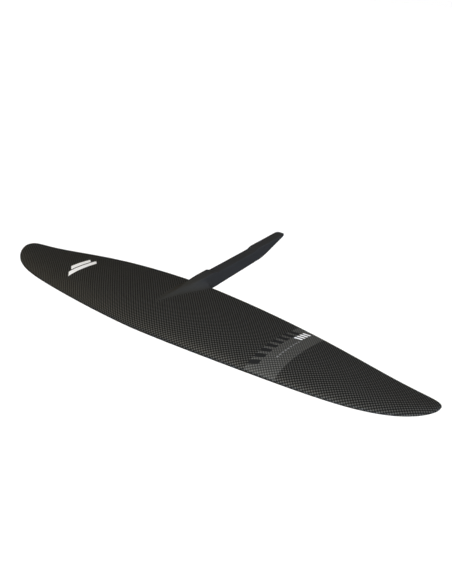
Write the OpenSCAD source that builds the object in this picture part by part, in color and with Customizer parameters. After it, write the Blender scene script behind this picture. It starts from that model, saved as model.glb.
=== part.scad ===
// Front wing of a hydrofoil: a swept, drooping carbon wing with a tang that runs
// back from its root. The wing is two skins over a foam and spar core.
// +X runs to the right tip, +Y aft along the tang and +Z up. The origin is the
// middle of the flat seat on top of the tang. Lengths are in millimetres.

/* [Planform] */
// Tip to tip span
span = 1090; // [900:10:1200]
// Chord at the root
root_chord = 214.5; // [180:0.5:240]
// How late along the span the chord falls off
taper_start = 1.518; // [1.2:0.01:2.5]
// How blunt the tips are, small for blunter
tip_power = 0.45; // [0.35:0.01:0.6]
// How far the chord's middle sweeps back by the tip, as a share of the half span
sweep_back = 0.228; // [0.1:0.001:0.3]
// How much of that sweep the outer half gives back
sweep_relief = 0.178; // [0:0.001:0.25]
// Extra sweep in the last stretch before the tip
tip_sweep = 0.109; // [0:0.001:0.2]
// How far the wing droops towards the tip, as a share of the half span
droop = 0.201; // [0:0.001:0.3]
// How much of that droop the outer half gives back
droop_relief = 0.099; // [0:0.001:0.2]

/* [Section] */
// Thickness over chord
thickness_ratio = 0.131; // [0.08:0.001:0.16]
// Camber over chord
camber_ratio = 0.036; // [0:0.001:0.06]
// Where along the chord the camber is largest
camber_place = 0.42; // [0.3:0.01:0.5]
// Angle between the wing's chord line and the tang's seat
incidence = 1; // [0:0.1:3]

/* [Laminate] */
// Thickness of each carbon skin
skin_t = 1.6; // [1:0.1:2.5]
// Glue line between the skins and what they cover
glue_gap = 0.1; // [0.05:0.01:0.2]
// Thickness of each spar cap
cap_t = 1.2; // [0.6:0.1:2]
// Thickness of the spar's upright web
web_t = 3; // [2:0.5:5]
// Thickness of the printed films
film_t = 0.12; // [0.1:0.01:0.3]

/* [Tang] */
// Width of the tang
tang_w = 24; // [18:0.5:28]
// How far the seat's middle lies behind the middle of the root chord
seat_back = 214.5; // [180:0.5:240]
// How far the seat lies above the root chord line
seat_up = 17.5; // [12:0.1:20]
// Length of the flat seat
seat_l = 135; // [100:1:150]
// Height of the front pad above the seat
pad_h = 4.3; // [3:0.1:8]
// Height of the tongue behind the seat
tongue_h = 3.7; // [3:0.1:8]
// Length of the slope from the pad down to the seat
pad_slope_l = 10; // [5:0.5:15]
// Length of the slope from the seat up to the tongue
tongue_slope_l = 13; // [8:0.5:18]
// Distance from the seat's middle to the tang's rear end
tang_end = 189; // [150:1:200]
// Depth of the tang below the seat, right behind the wing
tang_depth = 31.4; // [28:0.1:36]
// Rise of the tang's underside under the seat, in degrees
under_rise = 1.9; // [1:0.1:5]
// Rise of the underside towards the end, in degrees
end_rise = 15.8; // [8:0.1:18]
// Where the underside turns up towards the end
under_bend = 97; // [85:1:110]

/* [Marks] */
// Where the pale band starts on the right wing
band_x = 241; // [200:1:300]
// Width of the pale band
band_w = 55; // [40:1:80]
// Width of the dark bars on the band
mark_w = 16; // [8:1:20]
// Distance from the middle to the outer end of the emblem on the left wing
emblem_x = 297; // [250:1:320]
// Width of each of the emblem's two bars
emblem_bar_w = 17; // [10:1:24]

/* [Fixing] */
// Thread drill radius of an M8 insert
thread_r = 3.4; // [2.5:0.1:4.3]
// Outer radius of an insert
insert_r = 6; // [5:0.1:7]
// Length of an insert
insert_l = 16; // [12:1:20]
// Depth of the threaded hole
thread_l = 13; // [8:1:15]
// How far the front insert is ahead of the seat's middle
front_insert = 66; // [55:1:70]
// How far the rear insert is behind the seat's middle
rear_insert = 84; // [78:1:90]

/* [Fairing] */
// How far the fairing's nose is ahead of the middle of the root chord
nose_ahead = 36.6; // [20:0.1:50]
// Half width of the fairing's foot at the trailing edge
foot_half_w = 28; // [20:0.5:35]
// How far the fairing runs out behind the trailing edge
runout = 26; // [15:1:35]

/* [Hidden] */

half_span = span / 2;
chord_trim = 0.0128;
tang_half_w = tang_w / 2;
seat_half_l = seat_l / 2;
core_reach = 0.93;
filler_reach = 0.985;
spar_reach = 0.9;
tip_reach = 0.9995;
emblem_gap = 5;
emblem_fronts = [0.4, 0.27];
emblem_back = 0.73;
emblem_lean = -0.9;
bar_lean = 0.5;
mark_count = 8;
mark_s = 0.06;
mark_pitch = 0.102;
mark_l = 0.058;
dash_count = 9;
dash_s = 0.27;
dash_pitch = 0.05;
dash_l = 0.024;
tick_count = 4;
tick_s = 0.72;
tick_pitch = 0.055;
tick_l = 0.028;
cap_front = 0.24;
cap_rear = 0.42;
web_place = 0.335;
web_clear = web_t * 0.6;
cap_inset = 0.01;

// Half thickness left inside the skins where each inner piece ends.
front_edge_room = 0.3;
front_core_room = 2.5;
rear_core_room = 0.9;
rear_edge_room = 0.25;
joint_room = 0.2;

root_half_w = 24;
span_steps = 16;
chord_steps = 20;
notch_step = 12;
notch_slack = 0.05;
insert_slack = 0.1;
te_y = root_chord / 2;
blade_top = -3.3;
tenon_bottom = -17.9;
blade_bottom = -22.3;
tenon_front = -249;
film_gap = 0.12;

// ---- Wing shape. x is along the span and s runs from 0 at the leading edge to
// 1 at the trailing edge. Heights are measured from the root chord line.

function reach(x) = min(abs(x) / half_span, 1);

function chord(x) =
    let (u = reach(x))
    root_chord * pow(1 - pow(u, taper_start), tip_power) * (1 - chord_trim * u * u);

function middle_y(x) =
    let (u = reach(x))
    half_span * (sweep_back * pow(u, 2) - sweep_relief * pow(u, 4) + tip_sweep * pow(u, 8));

function middle_z(x) =
    let (u = reach(x))
    half_span * (droop_relief * pow(u, 4) - droop * pow(u, 2));

function wing_y(x, s) = middle_y(x) + (s - 0.5) * chord(x);

function half_thickness(s) =
    5 * thickness_ratio
    * (0.2969 * sqrt(s) - 0.1260 * s - 0.3516 * pow(s, 2) + 0.2843 * pow(s, 3)
       - 0.1036 * pow(s, 4));

function camber(s) =
    s < camber_place
    ? camber_ratio * (2 * camber_place * s - s * s) / pow(camber_place, 2)
    : camber_ratio * (1 - 2 * camber_place + 2 * camber_place * s - s * s)
      / pow(1 - camber_place, 2);

function middle_of(x, s) = middle_z(x) + chord(x) * camber(s);
function swell(x, s) = chord(x) * half_thickness(s);
function top_z(x, s) = middle_of(x, s) + swell(x, s);
function under_z(x, s) = middle_of(x, s) - swell(x, s);
function share_at(x, y) = (y - middle_y(x)) / chord(x) + 0.5;

// From the root chord line's own axes to the part's axes.
function place(p) =
    [p[0],
     p[1] * cos(incidence) - p[2] * sin(incidence) - seat_back,
     p[1] * sin(incidence) + p[2] * cos(incidence) - seat_up];

// The share of the chord behind which, or ahead of which, the wing is thinner
// than twice the given half thickness.
function thin_behind(x, half, low = 0.3, high = 1, turns = 24) =
    let (mid = (low + high) / 2)
    turns == 0 ? mid
    : swell(x, mid) > half ? thin_behind(x, half, mid, high, turns - 1)
    : thin_behind(x, half, low, mid, turns - 1);

function thin_ahead(x, half, low = 0, high = 0.3, turns = 24) =
    let (mid = (low + high) / 2)
    turns == 0 ? mid
    : swell(x, mid) > half ? thin_ahead(x, half, low, mid, turns - 1)
    : thin_ahead(x, half, mid, high, turns - 1);

// Rounded spacing: close together at the outer end.
function half_stations(from, to, steps) =
    [for (k = [0:steps]) from + (to - from) * sin(90 * k / steps)];

function mirrored(list) =
    concat([for (k = [len(list) - 1:-1:0]) -list[k]], list);

function even(from, to, steps) = [for (k = [0:steps]) from + (to - from) * k / steps];

// ---- A closed slab over a grid of stations xs and shares s. The share runs from
// front(x) to back(x) and the heights are upper(x, s) and lower(x, s).
module slab(xs, steps, front, back, upper, lower) {
    rows = len(xs);
    cols = steps + 1;
    grid = [for (x = xs) [for (j = [0:steps])
        [x, front(x) + (back(x) - front(x)) * j / steps]]];
    over = [for (row = grid) for (q = row) place([q[0], wing_y(q[0], q[1]), upper(q[0], q[1])])];
    under = [for (row = grid) for (q = row) place([q[0], wing_y(q[0], q[1]), lower(q[0], q[1])])];
    all = rows * cols;
    faces = concat(
        [for (i = [0:rows - 2]) for (j = [0:steps - 1])
            each quad(i * cols + j, i * cols + j + 1, (i + 1) * cols + j + 1, (i + 1) * cols + j)],
        [for (i = [0:rows - 2]) for (j = [0:steps - 1])
            each quad(all + i * cols + j, all + (i + 1) * cols + j,
                      all + (i + 1) * cols + j + 1, all + i * cols + j + 1)],
        [for (i = [0:rows - 2])
            each quad(i * cols, (i + 1) * cols, all + (i + 1) * cols, all + i * cols)],
        [for (i = [0:rows - 2])
            each quad(i * cols + steps, all + i * cols + steps,
                      all + (i + 1) * cols + steps, (i + 1) * cols + steps)],
        [for (j = [0:steps - 1]) each quad(j, all + j, all + j + 1, j + 1)],
        [for (j = [0:steps - 1])
            each quad((rows - 1) * cols + j, (rows - 1) * cols + j + 1,
                      all + (rows - 1) * cols + j + 1, all + (rows - 1) * cols + j)]);
    polyhedron(points = concat(over, under), faces = faces, convexity = 4);
}

function quad(a, b, c, d) = [[a, b, c], [a, c, d]];

// ---- One skin. Its outer and inner faces share their points along the leading
// and trailing edges, and a notch behind the root lets the tang through.
module skin(side) {
    outer_half = half_stations(tang_half_w + notch_slack, half_span * tip_reach, span_steps);
    xs = concat([for (k = [span_steps:-1:0]) -outer_half[k]], [0], outer_half);
    rows = len(xs);
    cols = chord_steps + 1;
    all = rows * cols;
    first = span_steps;
    last = span_steps + 2;
    shares = [for (j = [0:chord_steps]) (1 - cos(180 * j / chord_steps)) / 2];
    outside = [for (x = xs) for (s = shares)
        place([x, wing_y(x, s), middle_of(x, s) + side * swell(x, s)])];
    inside = [for (x = xs) for (s = shares)
        place([x, wing_y(x, s), middle_of(x, s) + side * max(swell(x, s) - skin_t, 0)])];
    function out(i, j) = i * cols + j;
    function in(i, j) = j == 0 || j == chord_steps ? out(i, j) : all + out(i, j);
    function wall(a, b, c, d) = concat(a == d ? [] : [[a, b, d]], b == c ? [] : [[b, c, d]]);
    function kept(i, j) = j < notch_step || i < first || i >= last;
    faces = concat(
        [for (i = [0:rows - 2]) for (j = [0:chord_steps - 1]) if (kept(i, j))
            each quad(out(i, j), out(i, j + 1), out(i + 1, j + 1), out(i + 1, j))],
        [for (i = [0:rows - 2]) for (j = [0:chord_steps - 1]) if (kept(i, j))
            each quad(in(i, j), in(i + 1, j), in(i + 1, j + 1), in(i, j + 1))],
        [for (j = [0:chord_steps - 1])
            each wall(in(0, j), in(0, j + 1), out(0, j + 1), out(0, j))],
        [for (j = [0:chord_steps - 1])
            each wall(out(rows - 1, j), out(rows - 1, j + 1), in(rows - 1, j + 1), in(rows - 1, j))],
        [for (i = [first:last - 1])
            each wall(out(i, notch_step), in(i, notch_step), in(i + 1, notch_step),
                      out(i + 1, notch_step))],
        [for (j = [notch_step:chord_steps - 1])
            each wall(out(first, j), out(first, j + 1), in(first, j + 1), in(first, j))],
        [for (j = [notch_step:chord_steps - 1])
            each wall(in(last, j), in(last, j + 1), out(last, j + 1), out(last, j))]);
    turned = side > 0 ? faces : [for (f = faces) [f[0], f[2], f[1]]];
    polyhedron(points = concat(outside, inside), faces = turned, convexity = 6);
}

module upper_skin() {
    color([0.17, 0.17, 0.16]) skin(1);
}

module lower_skin() {
    color([0.15, 0.15, 0.14]) skin(-1);
}

// ---- Inside the wing
function inner_top(x, s) = top_z(x, s) - skin_t - glue_gap;
function inner_under(x, s) = under_z(x, s) + skin_t + glue_gap;
function cap_room(s) = s > cap_front && s < cap_rear ? cap_t + glue_gap : 0;

// Foam between two shares of the chord, cut back where the spar caps lie.
module foam(xs, steps, front, back) {
    slab(xs, steps, front, back,
         function (x, s) inner_top(x, s) - cap_room(s),
         function (x, s) inner_under(x, s) + cap_room(s));
}

module front_core() {
    color([0.85, 0.72, 0.45])
    foam(mirrored(half_stations(20, half_span * core_reach, 10)), 12,
         function (x) thin_ahead(x, skin_t + front_core_room),
         function (x) web_place - web_clear / chord(x));
}

module rear_core(side) {
    xs = half_stations(root_half_w + glue_gap, half_span * core_reach, 10);
    foam(side > 0 ? xs : [for (k = [len(xs) - 1:-1:0]) -xs[k]], 14,
         function (x) web_place + web_clear / chord(x),
         function (x) thin_behind(x, skin_t + rear_core_room));
}

module left_rear_core() {
    color([0.83, 0.70, 0.44]) rear_core(-1);
}

module right_rear_core() {
    color([0.87, 0.74, 0.47]) rear_core(1);
}

module upper_spar_cap() {
    color([0.10, 0.10, 0.11])
    slab(mirrored(half_stations(root_half_w, half_span * spar_reach, 12)), 4,
         function (x) cap_front + cap_inset,
         function (x) cap_rear - cap_inset,
         function (x, s) inner_top(x, s),
         function (x, s) inner_top(x, s) - cap_t);
}

module lower_spar_cap() {
    color([0.12, 0.12, 0.13])
    slab(mirrored(half_stations(root_half_w, half_span * spar_reach, 12)), 4,
         function (x) cap_front + cap_inset,
         function (x) cap_rear - cap_inset,
         function (x, s) inner_under(x, s) + cap_t,
         function (x, s) inner_under(x, s));
}

module spar_web() {
    color([0.20, 0.21, 0.22])
    slab(mirrored(half_stations(root_half_w, half_span * spar_reach, 12)), 1,
         function (x) web_place - web_t / 2 / chord(x),
         function (x) web_place + web_t / 2 / chord(x),
         function (x, s) inner_top(x, s) - cap_t - glue_gap,
         function (x, s) inner_under(x, s) + cap_t + glue_gap);
}

// Solid block around the tang's tenon, between the spar web and the notch.
module root_block() {
    color([0.55, 0.40, 0.25])
    difference() {
        foam(even(-root_half_w, root_half_w, 4), 10,
             function (x) web_place + web_clear / chord(x),
             function (x) share_at(x, te_y - runout * 1.1));
        translate([-tang_half_w - insert_slack, tenon_front - 1, blade_bottom - insert_slack])
            cube([tang_w + 2 * insert_slack, te_y - tenon_front,
                  blade_top - blade_bottom + 2 * insert_slack]);
    }
}

module leading_edge_strip() {
    color([0.30, 0.31, 0.33])
    slab(mirrored(half_stations(20, half_span * core_reach, 12)), 2,
         function (x) thin_ahead(x, skin_t + front_edge_room),
         function (x) thin_ahead(x, skin_t + front_core_room - joint_room),
         function (x, s) inner_top(x, s),
         function (x, s) inner_under(x, s));
}

// Two solids, one on each side of the tang.
module trailing_edge_strip() {
    xs = half_stations(root_half_w + glue_gap, half_span * core_reach, 10);
    color([0.28, 0.29, 0.31])
    for (side = [-1, 1])
        slab(side > 0 ? xs : [for (k = [len(xs) - 1:-1:0]) -xs[k]], 2,
             function (x) thin_behind(x, skin_t + rear_core_room - joint_room / 2),
             function (x) thin_behind(x, skin_t + rear_edge_room),
             function (x, s) inner_top(x, s),
             function (x, s) inner_under(x, s));
}

module tip_filler(side) {
    xs = even(half_span * core_reach + 0.5, half_span * filler_reach, 5);
    slab(side > 0 ? xs : [for (k = [len(xs) - 1:-1:0]) -xs[k]], 8,
         function (x) thin_ahead(x, skin_t + front_edge_room),
         function (x) thin_behind(x, skin_t + rear_edge_room),
         function (x, s) inner_top(x, s),
         function (x, s) inner_under(x, s));
}

module left_tip_filler() {
    color([0.25, 0.26, 0.28]) tip_filler(-1);
}

module right_tip_filler() {
    color([0.27, 0.28, 0.30]) tip_filler(1);
}

// ---- Tang
shoulder_y = te_y - seat_back + 1;
pad_end = -seat_half_l - pad_slope_l;
tongue_start = seat_half_l + tongue_slope_l;

// Height of the tang's underside at a place along it.
function under_line(y) =
    y < under_bend
    ? -tang_depth + (y - shoulder_y) * tan(under_rise)
    : -tang_depth + (under_bend - shoulder_y) * tan(under_rise) + (y - under_bend) * tan(end_rise);

notch_share = (1 - cos(180 * notch_step / chord_steps)) / 2;
blade_start = (notch_share - 0.5) * root_chord - seat_back + 1;

// Side view, as [y, z] points: the tenon inside the wing, the blade in the notch
// and the full depth behind the trailing edge.
tang_outline = [
    [tenon_front, blade_top],
    [shoulder_y, blade_top],
    [shoulder_y, pad_h],
    [pad_end, pad_h],
    [-seat_half_l, 0],
    [seat_half_l, 0],
    [tongue_start, tongue_h],
    [tang_end, tongue_h],
    [tang_end, under_line(tang_end)],
    [under_bend, under_line(under_bend)],
    [shoulder_y, under_line(shoulder_y)],
    [shoulder_y, blade_bottom],
    [blade_start, blade_bottom],
    [blade_start, tenon_bottom],
    [tenon_front, tenon_bottom]
];
end_r = tang_half_w - 1;

module tang_body() {
    intersection() {
        rotate([90, 0, 90])
            translate([0, 0, -tang_half_w])
                linear_extrude(tang_w) polygon(tang_outline);
        translate([0, 0, -tang_depth - 10])
            linear_extrude(tang_depth + 30) {
                translate([-tang_half_w, tenon_front])
                    square([tang_w, tang_end - end_r - tenon_front]);
                translate([-1, tang_end - end_r])
                    circle(r = end_r, $fn = 64);
                translate([1, tang_end - end_r])
                    circle(r = end_r, $fn = 64);
                translate([-1, tang_end - 2 * end_r])
                    square([2, 2 * end_r]);
            }
    }
}

// The mouths of the inserts, level with the highest point of the underside there.
function insert_mouth(y) = under_line(y + insert_r);
insert_places = [-front_insert, rear_insert];

module tang() {
    color([0.18, 0.18, 0.185])
    difference() {
        tang_body();
        for (y = insert_places)
            translate([0, y, insert_mouth(y) - 10])
                cylinder(r = insert_r + insert_slack, h = insert_l + 10 + insert_slack, $fn = 64);
    }
}

module threaded_inserts() {
    color([0.75, 0.76, 0.78])
    for (y = insert_places)
        translate([0, y, insert_mouth(y)])
            difference() {
                cylinder(r = insert_r, h = insert_l, $fn = 64);
                translate([0, 0, -1])
                    cylinder(r = thread_r, h = thread_l + 1, $fn = 48);
            }
}

// ---- Fairings: a crest that runs back from a pointed nose and widens into the
// tang, with hollow flanks that spread out onto the skin.
full_crest = 0.67;
nose_half_w = 1.5;
crest_lip = 0.2;
crest_points = 6;
flank_points = 6;
base_lift = 0.12;
foot_lip = 0.4;
nose_lift = 0.3;
crest_power = 1.25;
foot_power = 0.9;
rise_share = 0.7;

function along(y) = min((y + nose_ahead) / (te_y + nose_ahead), 1);

function crest_half_w(y) =
    nose_half_w
    + (tang_half_w + crest_lip - nose_half_w) * pow(min(along(y) / full_crest, 1), crest_power);

// Behind the trailing edge the foot draws in to the tang along a quarter circle.
function foot_half(y) =
    y < te_y
    ? max(foot_half_w * pow(sin(90 * along(y)), foot_power), nose_half_w + foot_lip)
    : tang_half_w + 0.5
      + (foot_half_w - tang_half_w - 0.5) * (1 - sin(acos(max(1 - (y - te_y) / runout, 0))));

// Height of the crest above the root chord line's own axes.
function upper_crest(y) =
    let (behind = pad_h + seat_up - y * tan(incidence),
         nose_z = top_z(0, share_at(0, -nose_ahead)) + nose_lift,
         t = min(max((y + nose_ahead) / (te_y * rise_share + nose_ahead), 0), 1))
    nose_z + (behind - nose_z) * t;

function lower_crest(y) =
    let (deep = seat_up - tang_depth - te_y * tan(incidence),
         nose_z = under_z(0, share_at(0, -nose_ahead)) - nose_lift,
         t = min((y + nose_ahead) / (te_y + nose_ahead), 1))
    nose_z + (deep - nose_z) * (1 - cos(180 * t)) / 2
    + max(y - te_y, 0) * (tan(under_rise) - tan(incidence));

// Height of the skin, or of the trailing edge behind it.
function base_z(x, y, side) =
    let (s = min(max(share_at(x, y), 0.001), 1))
    middle_of(x, s) + side * (swell(x, s) + base_lift);

// Points across the top of one section, from foot to foot.
function section_top(y, side) =
    let (crest = side > 0 ? upper_crest(y) : lower_crest(y),
         r = crest_half_w(y),
         w = max(foot_half(y), r + foot_lip),
         foot_z = base_z(w, y, side),
         right = [for (k = [0:flank_points])
             let (a = 90 * k / flank_points)
             [r + (w - r) * (1 - cos(a)), y, foot_z + (crest - foot_z) * (1 - sin(a))]])
    concat([for (k = [flank_points:-1:0]) [-right[k][0], y, right[k][2]]], right);

function section_base(y, side) =
    let (w = max(foot_half(y), crest_half_w(y) + foot_lip))
    [for (k = [1:crest_points - 1])
        let (x = w - 2 * w * k / crest_points)
        [x, y, base_z(x, y, side)]];

module fairing_loft(side) {
    ys = concat(even(-nose_ahead + 3, te_y, 14), even(te_y + 3, te_y + runout, 5));
    rings = [for (y = ys) concat(section_top(y, side), section_base(y, side))];
    n = len(rings[0]);
    points = [for (ring = rings) for (p = ring) place(p)];
    sides = [for (i = [0:len(ys) - 2]) for (k = [0:n - 1])
        each quad(i * n + k, i * n + (k + 1) % n, (i + 1) * n + (k + 1) % n, (i + 1) * n + k)];
    ends = [[for (k = [n - 1:-1:0]) k], [for (k = [0:n - 1]) (len(ys) - 1) * n + k]];
    faces = concat(sides, ends);
    turned = side > 0 ? [for (f = faces) [for (k = [len(f) - 1:-1:0]) f[k]]] : faces;
    polyhedron(points = points, faces = turned, convexity = 6);
}

// The fairing with room for the tang, and for the blade ahead of it.
module fairing(side) {
    blade_l = shoulder_y - tenon_front;
    difference() {
        fairing_loft(side);
        translate([-tang_half_w - notch_slack, tenon_front, blade_bottom - notch_slack])
            cube([tang_w + 2 * notch_slack, blade_l + 1, blade_top - blade_bottom + 2 * notch_slack]);
        translate([-tang_half_w - notch_slack, shoulder_y - notch_slack, -tang_depth - 20])
            cube([tang_w + 2 * notch_slack, runout + 20, tang_depth + 40]);
    }
}

module upper_fairing() {
    color([0.20, 0.20, 0.20]) fairing(1);
}

module lower_fairing() {
    color([0.19, 0.19, 0.19]) fairing(-1);
}

// ---- Printed films on the upper skin. Each one runs between two stations, and
// between two shares of the chord that may change with the station.
module film(x0, x1, front, back, lift = 0, x_steps = 2, s_steps = 2) {
    slab(even(x0, x1, x_steps), s_steps, front, back,
         function (x, s) top_z(x, s) + film_gap + lift + film_t,
         function (x, s) top_z(x, s) + film_gap + lift);
}

// A leaning bar: its ends move aft by lean times its width as x grows.
module leaning_bar(x0, x1, s0, s1, lift, lean = bar_lean, s_steps = 2) {
    film(x0, x1,
         function (x) s0 + lean * (x - x0) / root_chord,
         function (x) s1 + lean * (x - x0) / root_chord, lift, s_steps = s_steps);
}

// Two plain leaning bars side by side on the left wing.
module emblem() {
    color("white")
    for (k = [0:1])
        let (x0 = -emblem_x + k * (emblem_bar_w + emblem_gap))
        leaning_bar(x0, x0 + emblem_bar_w, emblem_fronts[k], emblem_back, 0,
                    emblem_lean, 8);
}

module accent_band() {
    color([0.34, 0.34, 0.34])
    film(band_x, band_x + band_w, function (x) 0.01, function (x) 0.985,
         x_steps = 5, s_steps = 16);
}

// A row of dark bars along the inner side of the band.
module band_marks() {
    color([0.12, 0.12, 0.12])
    for (k = [0:mark_count - 1])
        leaning_bar(band_x, band_x + mark_w, mark_s + mark_pitch * k,
                    mark_s + mark_pitch * k + mark_l, film_gap + film_t);
}

// A row of small dashes down the middle of the band.
module fine_marks() {
    color([0.6, 0.6, 0.6])
    for (k = [0:dash_count - 1])
        leaning_bar(band_x + 31, band_x + 33.5, dash_s + dash_pitch * k,
                    dash_s + dash_pitch * k + dash_l, film_gap + film_t);
}

// Four short white bars by the trailing edge, on the band.
module size_marks() {
    color("white")
    for (k = [0:tick_count - 1])
        leaning_bar(band_x + 18, band_x + 31, tick_s + tick_pitch * k,
                    tick_s + tick_pitch * k + tick_l, film_gap + film_t);
}

upper_skin();
lower_skin();
front_core();
left_rear_core();
right_rear_core();
upper_spar_cap();
lower_spar_cap();
spar_web();
root_block();
leading_edge_strip();
trailing_edge_strip();
left_tip_filler();
right_tip_filler();
tang();
threaded_inserts();
upper_fairing();
lower_fairing();
emblem();
accent_band();
band_marks();
fine_marks();
size_marks();
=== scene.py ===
"""Looks of the hydrofoil front wing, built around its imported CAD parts.

The wing's surfaces follow the same formulas as the CAD solids: x runs along the
span, s from 0 at the leading edge to 1 at the trailing edge, and heights are
measured from the root chord line. They are worked out in millimetres, and place()
turns them into the part's axes, in metres. The tang and the fairings are worked
out in the part's own axes.
"""

import math

import bmesh
import bpy
from mathutils import Matrix, Vector


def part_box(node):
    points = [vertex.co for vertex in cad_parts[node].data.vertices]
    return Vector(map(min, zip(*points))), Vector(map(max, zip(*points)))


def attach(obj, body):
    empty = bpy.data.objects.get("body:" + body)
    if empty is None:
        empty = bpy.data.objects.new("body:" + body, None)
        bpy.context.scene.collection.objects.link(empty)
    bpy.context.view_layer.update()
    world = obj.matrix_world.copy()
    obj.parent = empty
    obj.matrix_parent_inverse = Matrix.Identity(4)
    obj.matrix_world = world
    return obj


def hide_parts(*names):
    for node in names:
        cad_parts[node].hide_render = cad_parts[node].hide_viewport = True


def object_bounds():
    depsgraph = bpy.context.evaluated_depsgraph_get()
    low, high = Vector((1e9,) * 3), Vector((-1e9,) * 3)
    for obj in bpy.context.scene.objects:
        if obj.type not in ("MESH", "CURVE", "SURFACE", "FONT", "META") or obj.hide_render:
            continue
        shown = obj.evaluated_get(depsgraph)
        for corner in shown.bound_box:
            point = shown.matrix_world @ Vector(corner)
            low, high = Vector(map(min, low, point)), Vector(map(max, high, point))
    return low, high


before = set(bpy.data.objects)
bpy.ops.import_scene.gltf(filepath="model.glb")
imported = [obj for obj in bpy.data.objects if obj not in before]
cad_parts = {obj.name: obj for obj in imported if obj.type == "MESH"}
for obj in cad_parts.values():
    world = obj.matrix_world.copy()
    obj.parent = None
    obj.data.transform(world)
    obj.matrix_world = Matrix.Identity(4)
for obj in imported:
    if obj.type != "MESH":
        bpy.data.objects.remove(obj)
cad_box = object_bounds()

MM = 0.001
SKIN_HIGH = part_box("upper_skin")[1]
TANG_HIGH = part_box("tang")[1]

# ---------------------------------------------------------------- wing shape

# The skins end just short of the half span, where the chord comes down to nothing
TIP_REACH = 0.9995
HALF_SPAN = SKIN_HIGH.x / MM / TIP_REACH
# The chord in mm, and how it tapers towards the tips
ROOT_CHORD = 214.5
TAPER_START = 1.518
TIP_POWER = 0.45
TIP_TRIM = 0.0128
# The course of the chord's middle, aft and up, in shares of the half span
SWEEP = (0.228, -0.178, 0.109)
DROOP = (-0.201, 0.099)
# The section's measures as shares of its chord
THICKNESS = 0.131
CAMBER = 0.036
CAMBER_PLACE = 0.42
# Tilt between the root chord and the tang's seat, and the place of the seat's middle
# as seen from the middle of the root chord
INCIDENCE = math.radians(1.0)
SEAT_BACK = 214.5
SEAT_UP = 17.5
TRAILING_Y = ROOT_CHORD / 2
# The blunt trailing edge: its half thickness, where it sets in as a share of the chord,
# and the chord from which it is in full
EDGE_HALF = 0.45
EDGE_START = 0.75
EDGE_FULL_CHORD = 60
SKIN_T = 1.6


def chord(x):
    u = min(abs(x) / HALF_SPAN, 1.0)
    return ROOT_CHORD * (1 - u**TAPER_START) ** TIP_POWER * (1 - TIP_TRIM * u * u)


def middle_y(x):
    u = min(abs(x) / HALF_SPAN, 1.0)
    return HALF_SPAN * (SWEEP[0] * u**2 + SWEEP[1] * u**4 + SWEEP[2] * u**8)


def middle_z(x):
    u = min(abs(x) / HALF_SPAN, 1.0)
    return HALF_SPAN * (DROOP[0] * u**2 + DROOP[1] * u**4)


def half_thickness(s):
    """Half the section's thickness over its chord: a curve that closes at the rear."""
    curve = 0.2969 * math.sqrt(s) - 0.1260 * s - 0.3516 * s**2 + 0.2843 * s**3 - 0.1036 * s**4
    return 5 * THICKNESS * curve


def camber(s):
    """Height of the section's middle line over its chord."""
    p = CAMBER_PLACE
    if s < p:
        return CAMBER / p**2 * (2 * p * s - s * s)
    return CAMBER / (1 - p) ** 2 * (1 - 2 * p + 2 * p * s - s * s)


def edge_swell(s):
    """Extra half thickness, which the CAD skins lack, for a blunt trailing edge."""
    t = min(max((s - EDGE_START) / (1 - EDGE_START), 0.0), 1.0)
    return EDGE_HALF * t * t * (3 - 2 * t)


def skin_z(x, s, side, depth=0.0):
    """Height of the skin on one side, or of a layer depth below it."""
    c = chord(x)
    swell = c * half_thickness(s) + edge_swell(s) * min(c / EDGE_FULL_CHORD, 1.0)
    return middle_z(x) + c * camber(s) + side * max(swell - depth, 0.0)


def wing_y(x, s):
    return middle_y(x) + (s - 0.5) * chord(x)


def share_at(x, y):
    return min(max((y - middle_y(x)) / chord(x) + 0.5, 0.0), 1.0)


def place(x, y, z):
    """From the root chord line's own axes, in mm, to the part's axes, in metres."""
    sin, cos = math.sin(INCIDENCE), math.cos(INCIDENCE)
    return Vector((x, y * cos - z * sin - SEAT_BACK, y * sin + z * cos - SEAT_UP)) * MM


# The tilt is slight, so a few rounds settle a height
TILT_ROUNDS = 4


def skin_height(x, row_y, side):
    """Height of the skin over a place in the part's own axes, all in mm."""
    sin, cos = math.sin(INCIDENCE), math.cos(INCIDENCE)
    y = row_y + SEAT_BACK
    z = SEAT_UP
    for _ in range(TILT_ROUNDS):
        own_y = y * cos + z * sin
        z = (skin_z(x, share_at(x, own_y), side) + y * sin) / cos
    return z - SEAT_UP


SECTION_STEPS = 64


def section_shares():
    return [(1 - math.cos(math.pi * j / SECTION_STEPS)) / 2 for j in range(SECTION_STEPS + 1)]


def cloth_lengths(shares, side):
    """Length along a section of chord 1 from its middle to each share, as cloth lies."""
    points = [(s, camber(s) + side * half_thickness(s)) for s in shares]
    total = [0.0]
    for a, b in zip(points, points[1:]):
        total.append(total[-1] + math.dist(a, b))
    half = total[len(total) // 2]
    return [t - half for t in total]


# ---------------------------------------------------------------- mesh helpers

MERGE = 1e-7


def new_object(name, points, faces, material, smooth=True, cloth=None):
    """A new mesh object in the scene, with the cloth's own coordinates if given."""
    mesh = bpy.data.meshes.new(name)
    mesh.from_pydata([tuple(p) for p in points], [], faces)
    if cloth is not None:
        layer = mesh.attributes.new("cloth", "FLOAT_VECTOR", "POINT")
        for value, spot in zip(layer.data, cloth):
            value.vector = spot
    mesh.update()
    obj = bpy.data.objects.new(name, mesh)
    bpy.context.scene.collection.objects.link(obj)
    mesh.materials.append(material)
    if smooth:
        mesh.shade_smooth()
    return obj


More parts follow.
